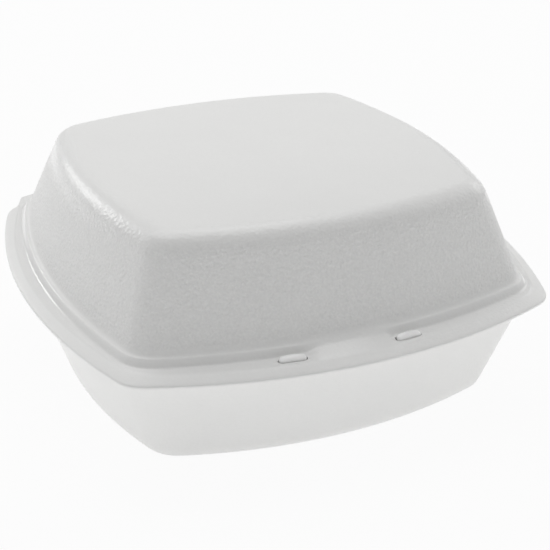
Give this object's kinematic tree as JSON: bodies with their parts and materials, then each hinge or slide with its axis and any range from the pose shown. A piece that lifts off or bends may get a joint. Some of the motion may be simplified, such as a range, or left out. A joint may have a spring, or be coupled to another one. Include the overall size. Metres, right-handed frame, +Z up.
{
  "type": "foam clamshell container",
  "caption": "Square takeaway clamshell of white foam with bowed sides: a deep base and a domed lid that folds open along its back edge and locks at the front.",
  "frame": {"origin": "middle of the flat bottom of the base", "axes": "+X along the front edge to the right, +Y from the front lock to the fold at the back, +Z up"},
  "size_m": [0.152, 0.1488, 0.0659],
  "materials": {
    "foam": "matte white foam skin with a fine grain"
  },
  "bodies": {
    "base": {"base": "foam"},
    "lid": {"lid": "foam"}
  },
  "joints": [
    {"name": "lid_fold", "type": "hinge", "parent": "base", "child": "lid", "pos_m": [0, 0.07335, 0.03626], "axis": [-1, 0, 0], "range_deg": [0, 180]}
  ]
}
